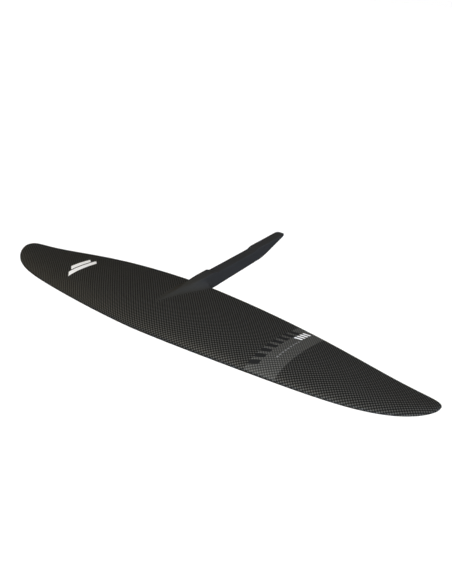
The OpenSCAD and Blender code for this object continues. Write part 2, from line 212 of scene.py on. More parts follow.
def tidy(obj, sharp_deg=32.0):
    """Joins doubled points, turns every face outwards and keeps real edges crisp."""
    bm = bmesh.new()
    bm.from_mesh(obj.data)
    bmesh.ops.remove_doubles(bm, verts=bm.verts, dist=MERGE)
    bmesh.ops.dissolve_degenerate(bm, edges=bm.edges, dist=MERGE)
    bmesh.ops.recalc_face_normals(bm, faces=bm.faces)
    limit = math.radians(sharp_deg)
    for e in bm.edges:
        e.smooth = len(e.link_faces) == 2 and e.calc_face_angle(0.0) < limit
    for f in bm.faces:
        f.smooth = True
    bm.to_mesh(obj.data)
    bm.free()


def loft(rings):
    """Points and faces of a capped tube through rings of equally many points."""
    n = len(rings[0])
    points = [p for ring in rings for p in ring]
    faces = []
    for i in range(len(rings) - 1):
        for k in range(n):
            m = (k + 1) % n
            faces.append((i * n + k, i * n + m, (i + 1) * n + m, (i + 1) * n + k))
    faces.append(tuple(reversed(range(n))))
    faces.append(tuple((len(rings) - 1) * n + k for k in range(n)))
    return points, faces


def sheet_solid(over, under):
    """Points and faces of a closed slab between two grids of points of equal size."""
    rows, cols = len(over), len(over[0])
    points = [p for row in over for p in row] + [p for row in under for p in row]
    shift = rows * cols
    faces = []
    for i in range(rows - 1):
        for j in range(cols - 1):
            a, b = i * cols + j, (i + 1) * cols + j
            faces.append((a, b, b + 1, a + 1))
            faces.append((shift + a, shift + a + 1, shift + b + 1, shift + b))
    for i in range(rows - 1):
        for j in (0, cols - 1):
            a, b = i * cols + j, (i + 1) * cols + j
            faces.append((a, b, shift + b, shift + a))
    for j in range(cols - 1):
        for i in (0, rows - 1):
            a = i * cols + j
            faces.append((a, a + 1, shift + a + 1, shift + a))
    return points, faces


# ---------------------------------------------------------------- materials


class Shader:
    """A node material being built, with short ways to add its nodes."""

    def __init__(self, name):
        self.material = bpy.data.materials.new(name)
        self.material.use_nodes = True
        self.tree = self.material.node_tree
        self.bsdf = self.tree.nodes["Principled BSDF"]

    def node(self, kind, inputs=None, **settings):
        n = self.tree.nodes.new(kind)
        for key, value in settings.items():
            setattr(n, key, value)
        for key, value in (inputs or {}).items():
            self.feed(n.inputs[key], value)
        return n

    def feed(self, socket, value):
        if isinstance(value, bpy.types.NodeSocket):
            self.tree.links.new(value, socket)
        else:
            socket.default_value = value

    def math(self, operation, *values, clamp=False):
        n = self.node("ShaderNodeMath", operation=operation, use_clamp=clamp)
        for socket, value in zip(n.inputs, values):
            self.feed(socket, value)
        return n.outputs[0]

    def mix(self, factor, a, b):
        """Between two numbers or two number sockets."""
        n = self.node("ShaderNodeMix", data_type="FLOAT")
        self.feed(n.inputs[0], factor)
        self.feed(n.inputs[2], a)
        self.feed(n.inputs[3], b)
        return n.outputs[0]

    def mix_colour(self, factor, a, b):
        n = self.node("ShaderNodeMix", data_type="RGBA")
        self.feed(n.inputs[0], factor)
        self.feed(n.inputs[6], a)
        self.feed(n.inputs[7], b)
        return n.outputs[2]

    def noise(self, vector, scale, detail=2.0, roughness=0.5):
        n = self.node("ShaderNodeTexNoise")
        n.inputs["Scale"].default_value = scale
        n.inputs["Detail"].default_value = detail
        n.inputs["Roughness"].default_value = roughness
        self.feed(n.inputs["Vector"], vector)
        return n.outputs["Fac"]

    def stretch(self, vector, scale):
        n = self.node("ShaderNodeMapping")
        n.inputs["Scale"].default_value = scale
        self.feed(n.inputs["Vector"], vector)
        return n.outputs["Vector"]

    def bump(self, height, distance, strength):
        n = self.node("ShaderNodeBump")
        n.inputs["Distance"].default_value = distance
        n.inputs["Strength"].default_value = strength
        self.feed(n.inputs["Height"], height)
        return n.outputs["Normal"]

    def set(self, **values):
        for key, value in values.items():
            self.feed(self.bsdf.inputs[key.replace("_", " ")], value)

    def colour(self, red, green, blue):
        n = self.node("ShaderNodeCombineColor")
        for socket, value in zip(n.inputs, (red, green, blue)):
            self.feed(socket, value)
        return n.outputs[0]

    def space(self):
        return self.node("ShaderNodeTexCoord").outputs["Object"]


def grey(value):
    return (value, value, value, 1)


# Tows: width in mm, roundness across and along, and how deep they dive under each other
TOW = 3.25
TOW_CROWN = 0.55
TOW_DIP = 0.45
TOW_DIVE = 0.55
# Fibres in a tow: how many across, how streaky along, and a shift between directions
FIBRES_ACROSS = 16.0
FIBRE_STREAK = 0.6
FIBRE_SHIFT = 7.3
FIBRE_CONTRAST = 0.7
FIBRE_DARKEST = 0.65
# Brightness of the darker tows, the paler tows and the gaps between them; the paler tows carry a
# painted sheen and the gaps painted shade
WING_SHEEN_AND_SHADE_TONES = (0.011, 0.077, 0.004)
BAND_SHEEN_AND_SHADE_TONES = (0.030, 0.106, 0.012)
# How fast the tone rises from a gap to a tow: painted shade, darkest where the weave dips
GAP_SHADE_RISE = 0.8
CLOTH_GREEN = 0.985
CLOTH_BLUE = 0.91
CLOTH_RELIEF = 0.16 * MM


def weave(shader):
    """A plain weave on the cloth's coordinates.

    Gives its height, which of the two tow directions is on top, its fibres and the
    coordinates themselves.
    """
    spot = shader.node("ShaderNodeAttribute", attribute_name="cloth").outputs["Vector"]
    split = shader.node("ShaderNodeSeparateXYZ", {"Vector": spot})
    u = shader.math("DIVIDE", split.outputs["X"], TOW * MM)
    v = shader.math("DIVIDE", split.outputs["Y"], TOW * MM)
    cell = shader.math("ADD", shader.math("FLOOR", u), shader.math("FLOOR", v))
    turn = shader.math("FLOORED_MODULO", cell, 2.0)
    in_u = shader.math("FRACT", u)
    in_v = shader.math("FRACT", v)
    across = shader.mix(turn, in_v, in_u)
    along = shader.mix(turn, in_u, in_v)
    arch = shader.math("SINE", shader.math("MULTIPLY", across, math.pi))
    crown = shader.math("POWER", arch, TOW_CROWN)
    wave = shader.math("SINE", shader.math("MULTIPLY", along, math.pi))
    dip = shader.math("POWER", wave, TOW_DIP)
    rise = shader.math("MULTIPLY_ADD", dip, TOW_DIVE, 1 - TOW_DIVE)
    height = shader.math("MULTIPLY", crown, rise)
    fibre_spot = shader.node("ShaderNodeCombineXYZ")
    shader.feed(fibre_spot.inputs["X"], shader.math("MULTIPLY", across, FIBRES_ACROSS))
    shader.feed(fibre_spot.inputs["Y"], shader.math("MULTIPLY_ADD", along, FIBRE_STREAK, cell))
    shader.feed(fibre_spot.inputs["Z"], shader.math("MULTIPLY", turn, FIBRE_SHIFT))
    fibres = shader.noise(fibre_spot.outputs[0], 1.0, 2.0, 0.6)
    return height, turn, fibres, spot


def weave_colour_with_painted_light(shader, height, turn, fibres, tones):
    """Colour of the cloth with painted light: tows one way, tows the other way, whose difference
    is a painted sheen, and gaps and dips darkened as painted shade.
    """
    streaks = shader.math("MULTIPLY_ADD", fibres, FIBRE_CONTRAST, FIBRE_DARKEST)
    tow = shader.math("MULTIPLY", shader.mix(turn, tones[0], tones[1]), streaks)
    tone = shader.mix(shader.math("POWER", height, GAP_SHADE_RISE), tones[2], tow)
    green = shader.math("MULTIPLY", tone, CLOTH_GREEN)
    blue = shader.math("MULTIPLY", tone, CLOTH_BLUE)
    return shader.colour(tone, green, blue)


def carbon_weave():
    """Carbon cloth with little sheen."""
    s = Shader("carbon_weave")
    height, turn, fibres, spot = weave(s)
    cloud = s.noise(spot, 14.0, 2.0)
    # The colour carries a painted sheen on the paler tows and painted shade in the gaps and dips
    s.set(
        Base_Color=weave_colour_with_painted_light(s, height, turn, fibres, WING_SHEEN_AND_SHADE_TONES),
        Roughness=s.mix(height, 0.75, s.math("MULTIPLY_ADD", cloud, 0.08, 0.38)),
        Normal=s.bump(height, CLOTH_RELIEF, 0.75),
    )
    s.bsdf.inputs["Specular IOR Level"].default_value = 0.10
    s.bsdf.inputs["Metallic"].default_value = 0.35
    s.bsdf.inputs["Specular Tint"].default_value = (0.35, 0.35, 0.35, 1)
    return s.material


def band_print():
    """Grey ink over the cloth, which shows through it."""
    s = Shader("grey_print")
    height, turn, fibres, spot = weave(s)
    # The colour carries a painted sheen on the paler tows and painted shade in the gaps and dips
    s.set(
        Base_Color=weave_colour_with_painted_light(s, height, turn, fibres, BAND_SHEEN_AND_SHADE_TONES),
        Roughness=s.math("MULTIPLY_ADD", s.noise(spot, 20.0), 0.08, 0.40),
        Normal=s.bump(height, CLOTH_RELIEF, 0.6),
    )
    s.bsdf.inputs["Specular IOR Level"].default_value = 0.10
    return s.material


def ink(name, value, through, gloss):
    """Ink of one brightness over the cloth, whose relief still shows through it, in its bumps and
    as painted shade where the weave dips.
    """
    s = Shader(name)
    height, _, fibres, spot = weave(s)
    # Painted shade: the ink is darker where the weave dips, by the share through
    shade = s.math("MULTIPLY_ADD", height, value * through, value * (1 - through))
    shade = s.math("MULTIPLY", shade, s.math("MULTIPLY_ADD", fibres, 0.08, 0.96))
    s.set(
        Base_Color=s.colour(shade, shade, shade),
        Roughness=s.math("MULTIPLY_ADD", s.noise(spot, 40.0), 0.10, 0.34),
        Normal=s.bump(height, 0.10 * MM, 0.35),
    )
    s.bsdf.inputs["Specular IOR Level"].default_value = gloss
    return s.material


# The colour changes from the fairings' paler, warmer tone, painted light for their upward-facing
# flanks, to the tang's over FADE_L, ending at FADE_END, both in metres along the part
FADE_END = -0.06
FADE_L = 0.09
TANG_TONE = 0.020
FAIRING_LIT_TONE = 0.0255
TANG_GREEN = 1.0
FAIRING_LIT_GREEN = 0.985
TANG_BLUE = 1.02
FAIRING_LIT_BLUE = 0.90
MOTTLE = 0.006


def satin_carbon():
    """Smooth black moulding with a fine orange-peel and faint rubbing on it.

    It is a little paler and warmer on the fairings, painted light for the light on their
    upward-facing flanks, and gets darker towards the tang.
    """
    s = Shader("satin_carbon")
    space = s.space()
    peel = s.noise(space, 900.0, 2.0)
    long_marks = s.noise(s.stretch(space, (260.0, 9.0, 120.0)), 1.0, 3.0, 0.6)
    cloud = s.noise(space, 16.0, 3.0)
    aft = s.node("ShaderNodeSeparateXYZ", {"Vector": space}).outputs["Y"]
    ahead = s.math("MULTIPLY_ADD", aft, -1 / FADE_L, FADE_END / FADE_L, clamp=True)
    # Painted light: the fairings are made paler and warmer than the tang, for the light on their
    # upward-facing flanks
    painted_light_tone = s.mix(ahead, TANG_TONE, FAIRING_LIT_TONE)
    tone = s.math("ADD", s.math("MULTIPLY", cloud, MOTTLE), painted_light_tone)
    green = s.math("MULTIPLY", tone, s.mix(ahead, TANG_GREEN, FAIRING_LIT_GREEN))
    blue = s.math("MULTIPLY", tone, s.mix(ahead, TANG_BLUE, FAIRING_LIT_BLUE))
    plain = s.math("MULTIPLY_ADD", cloud, 0.10, 0.36)
    rough = s.math("ADD", plain, s.math("MULTIPLY", long_marks, 0.08))
    s.set(
        Base_Color=s.colour(tone, green, blue),
        Roughness=rough,
        Normal=s.bump(peel, 0.03 * MM, 0.5),
    )
    s.bsdf.inputs["Specular IOR Level"].default_value = 0.03
    return s.material


def steel():
    """Turned stainless, dulled by handling: fine rings round the bore."""
    s = Shader("stainless_steel")
    space = s.space()
    rings = s.noise(s.stretch(space, (1.0, 1.0, 3000.0)), 1.0, 2.0)
    tone = s.math("MULTIPLY_ADD", rings, 0.10, 0.50)
    s.set(
        Base_Color=s.colour(tone, tone, tone),
        Roughness=s.math("MULTIPLY_ADD", rings, 0.15, 0.25),
        Normal=s.bump(rings, 0.02 * MM, 0.4),
    )
    # Partly metallic, because almost nothing here shows in its gloss
    s.bsdf.inputs["Metallic"].default_value = 0.4
    return s.material


def inner_stuff(name, low, high, scale, rough):
    """Foam, paste or raw laminate inside the wing: grains of two tones."""
    s = Shader(name)
    grain = s.noise(s.space(), scale, 3.0, 0.6)
    s.set(
        Base_Color=s.mix_colour(grain, low, high),
        Roughness=s.math("MULTIPLY_ADD", grain, 0.15, rough),
        Normal=s.bump(grain, 0.1 * MM, 0.5),
    )
    return s.material


WEAVE = carbon_weave()
BAND = band_print()
WHITE = ink("white_print", 0.85, 0.05, 0.5)
DARK = ink("dark_print", 0.016, 0.4, 0.06)
PALE = ink("pale_print", 0.18, 0.2, 0.2)
SATIN = satin_carbon()
STEEL = steel()
FOAM = inner_stuff("foam_core", (0.80, 0.64, 0.38, 1), (0.70, 0.54, 0.30, 1), 700.0, 0.75)
DENSE = inner_stuff("dense_core", (0.48, 0.35, 0.20, 1), (0.38, 0.27, 0.15, 1), 500.0, 0.6)
SPAR = inner_stuff("spar_carbon", (0.015, 0.015, 0.017, 1), (0.035, 0.035, 0.038, 1), 300.0, 0.45)
PASTE = inner_stuff("bonding_paste", (0.10, 0.10, 0.11, 1), (0.15, 0.15, 0.16, 1), 400.0, 0.5)

# ---------------------------------------------------------------- wing skins

SPAN_STEPS = 120


def stations():
    """Stations from tip to tip, close together towards the tips."""
    half = [HALF_SPAN * TIP_REACH * math.sin(math.pi / 2 * k / SPAN_STEPS)
            for k in range(SPAN_STEPS + 1)]
    return [-x for x in reversed(half[1:])] + half


def skin_piece(name, side, node):
    """One skin as a closed shell, its cloth laid from the middle of the chord."""
    shares = section_shares()
    lengths = cloth_lengths(shares, side)
    over, under, cloth = [], [], []
    for x in stations():
        c = chord(x)
        over.append([place(x, wing_y(x, s), skin_z(x, s, side)) for s in shares])
        under.append([place(x, wing_y(x, s), skin_z(x, s, side, SKIN_T)) for s in shares])
        cloth += [(x * MM, (middle_y(x) + c * length) * MM, 0.0) for length in lengths]
    points, faces = sheet_solid(over, under)
    piece = new_object(name, points, faces, WEAVE, cloth=cloth * 2)
    tidy(piece)
    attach(piece, "root")
    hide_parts(node)


skin_piece("upper_skin_cloth", 1, "upper_skin")
skin_piece("lower_skin_cloth", -1, "lower_skin")

# ---------------------------------------------------------------- tang

# Half width, rear end and the front pad's height over the seat, all from the CAD
HALF_W = TANG_HIGH.x / MM
TANG_END = TANG_HIGH.y / MM
PAD_H = TANG_HIGH.z / MM
# The rear tongue's height, half the seat's length and the lengths of the slopes beside it
TONGUE_H = 3.7
SEAT_HALF = 67.5
PAD_SLOPE = 10.0
TONGUE_SLOPE = 13.0
# The lower line: its depth just behind the wing, its rise aft, and where it bends up
SHOULDER_Y = TRAILING_Y - SEAT_BACK + 1
TANG_DEPTH = 31.4
UNDER_RISE = math.radians(1.9)
END_RISE = math.radians(15.8)
UNDER_BEND = 97.0
# Where the tang's mesh takes over from the fairings' meshes
SPLIT_Y = -80.0
EDGE_R = 1.4
# A slope so steep that it stands for an upright side
WALL = 1000.0
# The rear end rounds off over TIP_L seen from above and over TIP_SIDE_L seen from the side
TIP_L = 12.0
TIP_POWER_PLAN = 2.5
TIP_LEAST_W = 0.12
TIP_SIDE_L = 3.0
TIP_POWER_SIDE = 2.0
TIP_LEAST_H = 0.15
# Where the sides' middle line is, as a share of the height from below
SIDE_MIDDLE = 0.46
# Reach of the rounding of the corners in the top line and in the lower line's bend
TOP_SOFT = 2.2
BEND_SOFT = 14.0
UNDER_SOFT = 1.0
BEND_REACH = 20
# Further along than any part of the tang
FAR = 400.0
# Height of the trailing edge at the root
WEB_Z = TRAILING_Y * math.sin(INCIDENCE) - SEAT_UP


def between(y, points):
    """Height on a line of straight stretches through (y, z) points."""
    for (y0, z0), (y1, z1) in zip(points, points[1:]):
        if y <= y1:
            return z0 + (z1 - z0) * (y - y0) / (y1 - y0)
    return points[-1][1]


TOP_LINE = [
    (-FAR, PAD_H),
    (-SEAT_HALF - PAD_SLOPE, PAD_H),
    (-SEAT_HALF, 0.0),
    (SEAT_HALF, 0.0),
    (SEAT_HALF + TONGUE_SLOPE, TONGUE_H),
    (FAR, TONGUE_H),
]
BEND_Z = -TANG_DEPTH + (UNDER_BEND - SHOULDER_Y) * math.tan(UNDER_RISE)
UNDER_LINE = [
    (-FAR, -TANG_DEPTH + (-FAR - SHOULDER_Y) * math.tan(UNDER_RISE)),
    (UNDER_BEND, BEND_Z),
    (FAR, BEND_Z + (FAR - UNDER_BEND) * math.tan(END_RISE)),
]


def smoothed(y, line, reach):
    """A line's height with its corners rounded over a short reach."""
    steps = 6
    picks = [y + reach * (2 * k / steps - 1) for k in range(steps + 1)]
    return sum(between(p, line) for p in picks) / len(picks)


def tang_top(y):
    return smoothed(y, TOP_LINE, TOP_SOFT)


def tang_under(y):
    return smoothed(y, UNDER_LINE, BEND_SOFT if y > UNDER_BEND - BEND_REACH else UNDER_SOFT)


# How far a cubic curve's handles reach to the corner for a near circle
HANDLE = 0.5523


def bend(start, corner, end, steps):
    """Points after start on a rounded corner; a square corner gives a quarter circle."""
    a = [s + (c - s) * HANDLE for s, c in zip(start, corner)]
    b = [e + (c - e) * HANDLE for e, c in zip(end, corner)]
    points = []
    for i in range(1, steps + 1):
        t = i / steps
        u = 1 - t
        weights = (u**3, 3 * u * u * t, 3 * u * t * t, t**3)
        spots = (start, a, b, end)
        points.append(tuple(sum(g * q[j] for g, q in zip(weights, spots)) for j in range(2)))
    return points


# Steps of a half section: on the flat of its crest, on the crest's bend, on the flank
FLAT_STEPS = 4
TURN_STEPS = 10
FLANK_STEPS = 14


def half_section(r, w, crest, base, flat, fall, steep):
    """Points (x, z) of half a section, from the middle of its crest to its foot.

    The crest is flat as far as flat, and bends down to half width r, fall below the
    crest, where its slope is steep. From there it bends outwards to a foot at w.
    """
    side = 1 if crest > base else -1
    h = abs(crest - base)
    fall = min(fall, h / 2)
    turn = (r, h - fall)
    outline = [(flat * k / FLAT_STEPS, h) for k in range(FLAT_STEPS + 1)]
    outline += bend((flat, h), (max(r - fall / steep, flat), h), turn, TURN_STEPS)
    outline += bend(turn, (min(r + (h - fall) / steep, w), 0.0), (w, 0.0), FLANK_STEPS)
    return [(x, base + side * z) for x, z in outline]


def whole_ring(upper, lower, y):
    """A closed ring at y from an upper and a lower half section."""
    right = upper + lower[-2::-1]
    left = [(-x, z) for x, z in right[-2:0:-1]]
    return [Vector((x, y, z)) * MM for x, z in right + left]


# Stretches along the tang: where each starts, its step and its number of rings
STRETCHES = (
    (SPLIT_Y, 1.0, 20),
    (-60.0, 6.0, 21),
    (62.0, 1.0, 25),
    (88.0, 3.0, 30),
)
# Rings on the rounded end, and how far the last one stays short of it
END_STEPS = 16
END_SHORT = 0.02


def tang_stations():
    """Places along the tang, close together at its steps, its bend and its end."""
    marks = [y0 + step * k for y0, step, count in STRETCHES for k in range(count)]
    start = TANG_END - TIP_L
    marks = [y for y in marks if y < start - 1]
    marks += [start + TIP_L * math.sin(math.pi / 2 * k / END_STEPS) for k in range(END_STEPS)]
    marks += [TANG_END - END_SHORT]
    return marks


def tip_share(y, length, power):
    """How much of a measure is left in the last stretch, which rounds off the end."""
    t = min(max((y - (TANG_END - length)) / length, 0.0), 1.0)
    return max(1 - t**power, 0.0) ** (1 / power)


def tang_ring(y):
    r = HALF_W * max(tip_share(y, TIP_L, TIP_POWER_PLAN), TIP_LEAST_W)
    top, under = tang_top(y), tang_under(y)
    middle = under + (top - under) * SIDE_MIDDLE
    squeeze = max(tip_share(y, TIP_SIDE_L, TIP_POWER_SIDE), TIP_LEAST_H)
    top = middle + (top - middle) * squeeze
    under = middle + (under - middle) * squeeze
    edge = min(EDGE_R, r * 0.7)
    upper = half_section(r, r, top, middle, r - edge, edge, WALL)
    lower = half_section(r, r, under, middle, r - edge, edge, WALL)
    return whole_ring(upper, lower, y)


INSERT_R = 6.0
INSERT_L = 16.0
CHAMFER = 0.6
THREAD_R = 3.4
THREAD_ROOT_R = 4.0
THREAD_L = 13.0
THREAD_PITCH = 1.25
# Shares of a turn where the thread's crest starts and ends, and where its root starts
CREST_FROM = 0.4
CREST_TO = 0.55
ROOT_FROM = 0.95
# The end of the bore: a short plain stretch, a small step and a drilled point
PLAIN_L = 0.3
DRILL_STEP = 0.4
DRILL_POINT = 1.4
# Radius that stands for a point on the axis
AXIS_R = 0.05
# The tang's pockets: gap round the insert, and their reach from its mouth
POCKET_GAP = 0.35
POCKET_BELOW = 6
POCKET_ABOVE = 17
ROUND_STEPS = 48


def insert_places():
    """Middle and mouth height of each threaded insert, from the CAD solids."""
    low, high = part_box("threaded_inserts")
    ends = (low.y / MM + INSERT_R, high.y / MM - INSERT_R)
    return [(y, between(y + INSERT_R, UNDER_LINE)) for y in ends]


def cut(piece, cutter):
    """Takes one closed solid out of another and removes the cutter."""
    change = piece.modifiers.new("cut", "BOOLEAN")
    change.operation = "DIFFERENCE"
    change.solver = "EXACT"
    change.object = cutter
    graph = bpy.context.evaluated_depsgraph_get()
    mesh = bpy.data.meshes.new_from_object(piece.evaluated_get(graph))
    piece.modifiers.clear()
    old = piece.data
    piece.data = mesh
    bpy.data.meshes.remove(old)
    bpy.data.objects.remove(cutter)


def disc_ring(r, y, z):
    """A level circle of points round a place on the middle plane."""
    turns = [2 * math.pi * k / ROUND_STEPS for k in range(ROUND_STEPS)]
    return [Vector((r * math.cos(a), y + r * math.sin(a), z)) * MM for a in turns]


def tang_piece():
    """The tang behind the split, with a pocket for each insert."""
    points, faces = loft([tang_ring(y) for y in tang_stations()])
    piece = new_object("tang_moulding", points, faces, SATIN)
    tidy(piece)
    for y, mouth in insert_places():
        r = INSERT_R + POCKET_GAP
        rings = [disc_ring(r, y, mouth - POCKET_BELOW), disc_ring(r, y, mouth + POCKET_ABOVE)]
        drill_points, drill_faces = loft(rings)
        drill = new_object("drill", drill_points, drill_faces, SATIN)
        tidy(drill)
        cut(piece, drill)
    tidy(piece)
    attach(piece, "root")
    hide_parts("tang")


def insert_piece(k, y, mouth):
    """A threaded insert: a turned sleeve with a chamfered mouth and a threaded bore.

    Its profile is (radius, height over the mouth). The thread is a stack of rings.
    """
    profile = [(AXIS_R, INSERT_L)]
    profile += [(INSERT_R - CHAMFER, INSERT_L), (INSERT_R, INSERT_L - CHAMFER)]
    profile += [(INSERT_R, CHAMFER), (INSERT_R - CHAMFER, 0.0)]
    profile += [(THREAD_ROOT_R + CHAMFER, 0.0), (THREAD_ROOT_R, CHAMFER)]
    z = CHAMFER
    while z < THREAD_L - THREAD_PITCH:
        profile.append((THREAD_R, z + THREAD_PITCH * CREST_FROM))
        profile.append((THREAD_R, z + THREAD_PITCH * CREST_TO))
        profile.append((THREAD_ROOT_R, z + THREAD_PITCH * ROOT_FROM))
        z += THREAD_PITCH
    profile += [(THREAD_R, THREAD_L - PLAIN_L), (THREAD_R - DRILL_STEP, THREAD_L)]
    profile.append((AXIS_R, THREAD_L + DRILL_POINT))
    points, faces = loft([disc_ring(r, y, mouth + h) for r, h in profile])
    piece = new_object(f"threaded_insert_{k}", points, faces, STEEL)
    tidy(piece, sharp_deg=40)
    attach(piece, "root")
    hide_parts("threaded_inserts")


tang_piece()
for k, (y, mouth) in enumerate(insert_places(), 1):
    insert_piece(k, y, mouth)

# ---------------------------------------------------------------- fairings

# How far the nose is ahead of the middle of the root chord
NOSE_AHEAD = 36.6
NOSE_Y = -NOSE_AHEAD - SEAT_BACK
# The foot's half width at the trailing edge, and how far behind it the foot draws in
FOOT_HALF_W = 28.0
RUNOUT = 27.0
NOSE_HALF_W = 1.2
# Share of the fairing over which its nose rounds off
NOSE_BLUNT = 0.03
# Share at which the crest has the tang's full width, and how it widens up to there
FULL_CREST = 0.67
CREST_POWER = 1.25
FOOT_POWER = 0.9
LEAST_FOOT = 0.15
# The upper crest rises from the nose to this share of the chord's rear half, with a
# small lift that sets in over a share of the fairing
RISE_SHARE = 0.7
NOSE_LIFT = 0.5
LIFT_SHARE = 0.1
# How far the foot and the hidden floor of a fairing sink into the skin
FOOT_SINK = 0.02
FLOOR_SINK = 0.4
# Least height of a crest over its foot
LEAST_H = 0.05
# The section turns from a plain hump into the tang's over the last part of the fairing
SQUARE_FROM = 0.45
# Slope where the crest's bend meets the flank's, times width over height: near the
# nose, what is added by the trailing edge, and how late it is added
FLANK_SLOPE = 2.1
FLANK_SLOPE_GAIN = 8.0
FLANK_SLOPE_POWER = 9
EDGE_Y = TRAILING_Y - SEAT_BACK


def along(y):
    """Share of the way from the fairing's nose to the trailing edge."""
    return min(max((y - NOSE_Y) / (EDGE_Y - NOSE_Y), 0.0), 1.0)


def crest_half(y):
    """Half width of a fairing's crest."""
    share = min(along(y) / FULL_CREST, 1.0) ** CREST_POWER
    nose = NOSE_HALF_W * min(along(y) / NOSE_BLUNT, 1.0) ** 0.5
    return nose + (HALF_W - NOSE_HALF_W) * share


def foot_half(y):
    """Half width of a fairing's foot, which draws in to the tang behind the wing."""
    if y < EDGE_Y:
        return FOOT_HALF_W * math.sin(math.pi / 2 * along(y)) ** FOOT_POWER
    left = 1 - min((y - EDGE_Y) / RUNOUT, 1.0)
    return HALF_W + (FOOT_HALF_W - HALF_W) * (1 - math.sqrt(1 - left * left))


def upper_crest(y):
    nose_z = skin_height(0.0, NOSE_Y, 1)
    t = min(max((y - NOSE_Y) / (TRAILING_Y * RISE_SHARE + NOSE_AHEAD), 0.0), 1.0)
    lift = NOSE_LIFT * min(along(y) / LIFT_SHARE, 1.0)
    return min(nose_z + (PAD_H - nose_z) * t + lift * (1 - t), tang_top(y) + (1 - t))


def lower_crest(y):
    nose_z = skin_height(0.0, NOSE_Y, -1)
    t = along(y)
    deep = tang_under(max(y, SHOULDER_Y))
    return nose_z + (deep - nose_z) * (1 - math.cos(math.pi * t)) / 2


def skin_base(x, y, side, sink):
    """Where a fairing's foot meets the skin, or the trailing edge's level behind it."""
    if y >= EDGE_Y:
        return WEB_Z
    return skin_height(x, y, side) - side * sink


# Steps across a fairing's hidden floor
ACROSS_STEPS = 8


def fairing_ring(y, side):
    """A closed ring at y round the fairing on one side of the wing."""
    w = max(foot_half(y), LEAST_FOOT)
    r = min(crest_half(y), w)
    crest = upper_crest(y) if side > 0 else lower_crest(y)
    base = skin_base(w, y, side, FOOT_SINK)
    if (crest - base) * side < LEAST_H:
        crest = base + side * LEAST_H
    h = abs(crest - base)
    t = along(y)
    full = min(max((t - SQUARE_FROM) / (1 - SQUARE_FROM), 0.0), 1.0)
    full = full * full * (3 - 2 * full)
    flat = max(r - EDGE_R, 0.0) * full
    fall = h / 2 * (1 - full) + EDGE_R * full
    steep = h / w * (FLANK_SLOPE + FLANK_SLOPE_GAIN * t**FLANK_SLOPE_POWER)
    half = half_section(r, w, crest, base, flat, fall, steep)
    spots = [w - 2 * w * k / ACROSS_STEPS for k in range(1, ACROSS_STEPS)]
    floor = [(x, skin_base(x, y, side, FLOOR_SINK)) for x in spots]
    outline = [(-x, z) for x, z in reversed(half)] + half[1:] + floor
    return [Vector((x, y, z)) * MM for x, z in outline]


# Length of the nose's stretch, and the rings on it, on the body and on the web
NOSE_L = 30.0
NOSE_STEPS = 16
BODY_STEPS = 40
WEB_STEPS = 24
# How much the nose's rings crowd towards its tip and the web's towards the wing
NOSE_CROWDING = 2
WEB_CROWDING = 1.6
# Half the gap between the last ring over the wing and the first one behind it
EDGE_STEP = 0.01


def fairing_stations():
    """Places along a fairing: its nose, its body, and the web behind the wing."""
    nose_end = NOSE_Y + NOSE_L
    body_l = EDGE_Y - EDGE_STEP - nose_end
    web_start = EDGE_Y + EDGE_STEP
    web_l = SPLIT_Y - web_start
    nose_shares = [(k / NOSE_STEPS) ** NOSE_CROWDING for k in range(1, NOSE_STEPS + 1)]
    web_shares = [(k / WEB_STEPS) ** WEB_CROWDING for k in range(WEB_STEPS + 1)]
    nose = [NOSE_Y + NOSE_L * share for share in nose_shares]
    body = [nose_end + body_l * k / BODY_STEPS for k in range(1, BODY_STEPS + 1)]
    web = [web_start + web_l * share for share in web_shares]
    return nose + body + web


def fairing_piece(name, side, node):
    points, faces = loft([fairing_ring(y, side) for y in fairing_stations()])
    piece = new_object(name, points, faces, SATIN)
    tidy(piece)
    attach(piece, "root")
    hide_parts(node)


fairing_piece("upper_fairing_moulding", 1, "upper_fairing")
fairing_piece("lower_fairing_moulding", -1, "lower_fairing")

# ---------------------------------------------------------------- prints

INK_GAP = 0.05
INK_T = 0.05
# Each print's sizes: x in mm, and places along the chord as shares of it
BAND_X = 241.0
BAND_W = 55.0
BAND_FRONT = 0.006
BAND_BACK = 0.996
BARS = 8
BARS_W = 16
BARS_FRONT = 0.06
BARS_BACK = 0.118
BARS_STEP = 0.102
DASHES = 9
DASHES_X = 31
DASHES_W = 2.5
DASHES_FRONT = 0.27
DASHES_BACK = 0.294
DASHES_STEP = 0.05
SIZE_BARS = 4
SIZE_X = 18
SIZE_W = 13
SIZE_FRONT = 0.72
SIZE_BACK = 0.748
SIZE_STEP = 0.055
EMBLEM_X = -297.0
EMBLEM_BAR_W = 17.0
EMBLEM_GAP = 5.0
EMBLEM_FRONTS = (0.40, 0.27)
EMBLEM_BACK = 0.73
# How far a bar's ends move aft for each mm of x, in mm on a chord as long as the root's
EMBLEM_LEAN = -0.9
BAR_LEAN = 0.5
# Steps of the prints' meshes, fine enough to follow the skin
BAR_STEPS = 8
EMBLEM_STEPS = 40
BAND_X_STEPS = 16
BAND_CHORD_STEPS = 120

SHARES = section_shares()
LENGTHS = cloth_lengths(SHARES, 1)


def cloth_at(x, s):
    """The cloth's own coordinates at a place on the upper skin."""
    for a, b, la, lb in zip(SHARES, SHARES[1:], LENGTHS, LENGTHS[1:]):
        if s <= b:
            length = la + (lb - la) * (s - a) / (b - a)
            return (x * MM, (middle_y(x) + chord(x) * length) * MM, 0.0)
    return (x * MM, (middle_y(x) + chord(x) * LENGTHS[-1]) * MM, 0.0)


